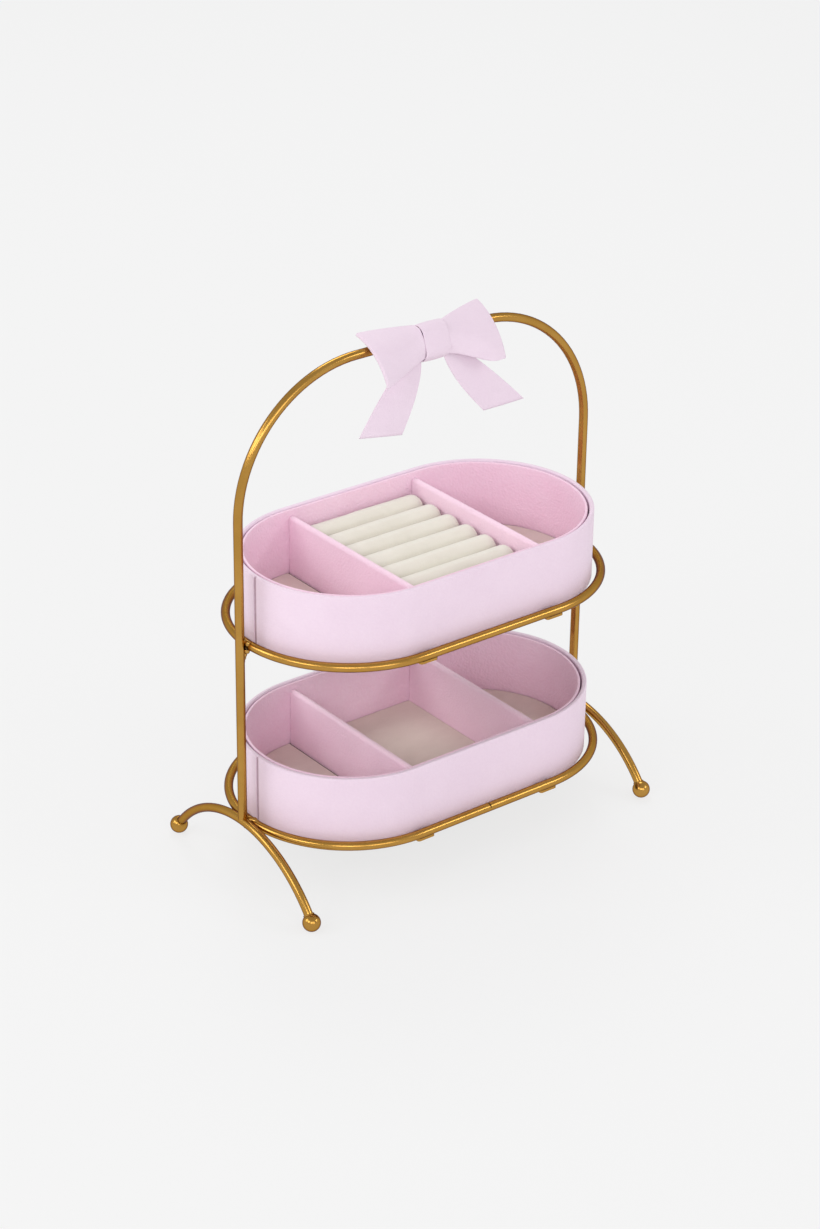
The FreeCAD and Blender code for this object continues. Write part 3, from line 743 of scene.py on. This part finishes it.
def loop(label, side):
    """A flattened loop: one ribbon out along the front, round the fold and back behind."""
    layer = RIBBON_SHOWN / 2
    fold = 0.68
    far = LOOP_REACH - fold - layer
    edge = KNOT_EDGE[side]
    path = [(edge * i / 6, layer) for i in range(6)]
    path += [(edge + 0.1 * i, layer) for i in range(6)]
    path += [(edge + 0.5 + (far - edge - 0.5) * i / 30, layer) for i in range(1, 30)]
    turns = [math.pi * i / 10 for i in range(11)]
    path += [(far + fold * math.sin(turn), layer + fold - fold * math.cos(turn)) for turn in turns]
    path += [(far * (1 - i / 24), layer + 2 * fold) for i in range(1, 25)]
    rows = [[loop_place(side, reach, share, depth) for share in spaced(26, 0.02)]
            for reach, depth in path]
    ribbon("bow_%s_loop_ribbon" % label, rows, "bow_%s_loop" % label)


def bend_at(points, share):
    """The place at a share of a quadratic bend."""
    (ax, ay), (bx, by), (cx, cy) = points
    p, q, r = (1 - share) ** 2, 2 * share * (1 - share), share**2
    return p * ax + q * bx + r * cx, p * ay + q * by + r * cy


TAIL_INNER = ((0.27, 0.24), (0.33, 0.53), (1.0, 1.0))
TAIL_OUTER = ((0.175, 0.085), (0.53, 0.36), (1.0, 1.0))
TAIL_REACH = (27.6, 54.9)
TAIL_INNER_DROP = 46.8
TAIL_TIP_FRONT = 1.5
TAIL_CURL = 0.9


def tail(label, side, outer_drop):
    """A hanging end, cut off straight, with a slight lengthwise curl."""
    rows = []
    for i in range(-3, 41):
        share = max(i, 0) / 40
        inner, outer = bend_at(TAIL_INNER, share), bend_at(TAIL_OUTER, share)
        if i < 0:
            root = 1 + i / 4
            inner = inner[0] * root, 0.19 + (inner[1] - 0.19) * root
            outer = outer[0] * root, 0.11 + (outer[1] - 0.11) * root
        base = TAIL_TIP_FRONT + (TAIL_FRONT - TAIL_CURL - TAIL_TIP_FRONT) * 0.5 * (1 - share)
        row = []
        for across in spaced(18, 0.025):
            inside = 1 - across
            x = side * (inner[0] * TAIL_REACH[0] * inside + outer[0] * TAIL_REACH[1] * across)
            up = -(inner[1] * TAIL_INNER_DROP * inside + outer[1] * outer_drop * across)
            curl = TAIL_CURL * math.sin(math.pi * across) ** 2 * 0.6 - TAIL_CURL * inside * 0.5
            wave = 0.5 * share * math.sin(2.4 * share + side) * math.sin(math.pi * across)
            row.append(on_wire(x, base + curl + wave - 0.2, up))
        rows.append(row)
    ribbon("bow_%s_tail_ribbon" % label, rows, "bow_%s_tail" % label)


def knot_outline(share, out):
    """A place on the knot's stadium outline, from its top over the front and round."""
    radius = KNOT_RADIUS - RIBBON_SHOWN / 2 + out
    turn = math.pi * radius
    total = 2 * turn + 2 * KNOT_STRAIGHT
    s = (share % 1.0) * total
    half = KNOT_STRAIGHT / 2
    if s < turn / 2:
        a = math.pi / 2 - s / radius
        return KNOT_PLACE + radius * math.cos(a), half + radius * math.sin(a)
    s -= turn / 2
    if s < KNOT_STRAIGHT:
        return KNOT_PLACE + radius, half - s
    s -= KNOT_STRAIGHT
    if s < turn:
        a = -s / radius
        return KNOT_PLACE + radius * math.cos(a), -half + radius * math.sin(a)
    s -= turn
    if s < KNOT_STRAIGHT:
        return KNOT_PLACE - radius, -half + s
    s -= KNOT_STRAIGHT
    a = math.pi - s / radius
    return KNOT_PLACE + radius * math.cos(a), half + radius * math.sin(a)


def knot():
    """The band round the loops and the wire: ends lapped behind, right edge drawn in."""
    rows = []
    steps = 130
    for i in range(steps + 1):
        share = 1.1 * i / steps
        place = share + 0.72
        front = max(0.0, math.sin(2 * math.pi * place))
        row = []
        for across in spaced(14, 0.04):
            crown = 0.3 * math.sin(math.pi * across)
            draw = -0.25 * front * across**6
            lap = 0.9 * smooth((share - 0.92) / 0.08)
            forward, up = knot_outline(place, crown + draw + lap)
            x = KNOT_EDGE[1] * across - KNOT_EDGE[-1] * (1 - across)
            row.append(on_wire(x, forward, up - KNOT_DROP))
        rows.append(row)
    ribbon("bow_knot_band", rows, "bow_knot")


knot()
for label, side, drop in (("left", -1, 42.4), ("right", 1, 46.6)):
    loop(label, side)
    tail(label, side, drop)

# ---------------------------------------------------------------- stage, light and camera
BACKDROP = (0.91, 0.91, 0.91, 1.0)
ROOM = ((0.12, 0.84), (0.36, 0.70), (0.70, 0.60))


def seen_directly(tree):
    """1 for rays straight from the camera, in a mirror or through glass, else 0."""
    path = tree.nodes.new("ShaderNodeLightPath")
    total = path.outputs["Is Camera Ray"]
    for other in ("Is Glossy Ray", "Is Transmission Ray"):
        made = tree.nodes.new("ShaderNodeMath")
        made.operation = "MAXIMUM"
        tree.links.new(total, made.inputs[0])
        tree.links.new(path.outputs[other], made.inputs[1])
        total = made.outputs["Value"]
    return total


def pale_floor(reach=30.0, glow_share=0.82):
    """A wide floor that takes the shadow and is pale where it is seen."""
    mesh = bpy.data.meshes.new("studio_floor")
    corners = [(x * reach, y * reach, 0) for x, y in ((-1, -1), (1, -1), (1, 1), (-1, 1))]
    mesh.from_pydata(corners, [], [(0, 1, 2, 3)])
    floor = bpy.data.objects.new("studio_floor", mesh)
    scene.collection.objects.link(floor)
    m = Nodes("pale_floor")
    m.set(Base_Color=(0.84, 0.84, 0.84, 1.0), Roughness=0.9, Specular_IOR_Level=0.1)
    glow = m.add("ShaderNodeEmission", Color=BACKDROP, Strength=1.0)
    blend = m.add("ShaderNodeMixShader")
    share = m.add("ShaderNodeMath", operation="MULTIPLY")
    m.link(seen_directly(m.tree), share.inputs[0])
    share.inputs[1].default_value = glow_share
    m.link(share.outputs["Value"], blend.inputs["Fac"])
    m.link(m.shader.outputs["BSDF"], blend.inputs[1])
    m.link(glow.outputs["Emission"], blend.inputs[2])
    m.link(blend.outputs["Shader"], m.tree.nodes["Material Output"].inputs["Surface"])
    mesh.materials.append(m.material)


def studio_world():
    """A pale room: bright low down, as the backdrop is, and darker towards the ceiling."""
    world = bpy.data.worlds.new("studio")
    scene.world = world
    world.use_nodes = True
    tree = world.node_tree
    place = tree.nodes.new("ShaderNodeTexCoord").outputs["Generated"]
    parts = tree.nodes.new("ShaderNodeSeparateXYZ")
    tree.links.new(place, parts.inputs["Vector"])
    height = tree.nodes.new("ShaderNodeValToRGB")
    height.color_ramp.interpolation = "EASE"
    points = height.color_ramp.elements
    points.new(0.5)
    for point, (at, level) in zip(points, ROOM):
        point.position, point.color = at, (level, level, level, 1.0)
    tree.links.new(parts.outputs["Z"], height.inputs["Fac"])
    tree.links.new(height.outputs["Color"], tree.nodes["Background"].inputs["Color"])
    tree.nodes["Background"].inputs["Strength"].default_value = 1.0


def direction(azimuth, elevation):
    """The way out from the object at an azimuth and an elevation in radians."""
    return Vector((math.sin(azimuth) * math.cos(elevation),
                   -math.cos(azimuth) * math.cos(elevation), math.sin(elevation)))


def softbox(name, azimuth, elevation, size, power, distance=2.4):
    """A lamp turned to the middle of the object from a distance and a direction in degrees."""
    target = Vector((0.0, 0.0, 0.15))
    around, above = math.radians(azimuth), math.radians(elevation)
    away = direction(around, above)
    lamp = bpy.data.lights.new(name, "AREA")
    lamp.shape = "RECTANGLE"
    lamp.size, lamp.size_y = size
    lamp.energy = power
    obj = bpy.data.objects.new(name, lamp)
    obj.location = target + away * distance
    obj.rotation_euler = (-away).to_track_quat("-Z", "Y").to_euler()
    scene.collection.objects.link(obj)


pale_floor()
studio_world()
softbox("rim", -118.0, 30.0, (0.9, 0.9), 9.0)
softbox("left", -80.0, 31.0, (1.0, 0.55), 8.0)
softbox("key", -38.0, 25.0, (0.9, 0.5), 7.0)
softbox("front", -8.0, 22.0, (0.9, 0.8), 5.5)
softbox("fill", 42.0, 29.0, (0.8, 0.45), 6.0)
softbox("back", 150.0, 50.0, (1.0, 1.0), 12.0)

CAMERA_PLACE = (-0.88438, -1.12095, 0.85410)
AZIMUTH, ELEVATION, ROLL = (math.radians(a) for a in (-38.147, 26.995, 0.761))
back = direction(AZIMUTH, ELEVATION)
level = Vector((math.cos(AZIMUTH), math.sin(AZIMUTH), 0.0))
right = level * math.cos(ROLL) + back.cross(level) * math.sin(ROLL)
lens = bpy.data.cameras.new("camera")
lens.sensor_width = 36.0
lens.lens = 85.58
lens.clip_start, lens.clip_end = 0.05, 100.0
camera = bpy.data.objects.new("camera", lens)
scene.collection.objects.link(camera)
turned = Matrix((right, back.cross(right), back)).transposed().to_4x4()
camera.matrix_world = Matrix.Translation(CAMERA_PLACE) @ turned
scene.camera = camera
scene.view_settings.view_transform = "Standard"
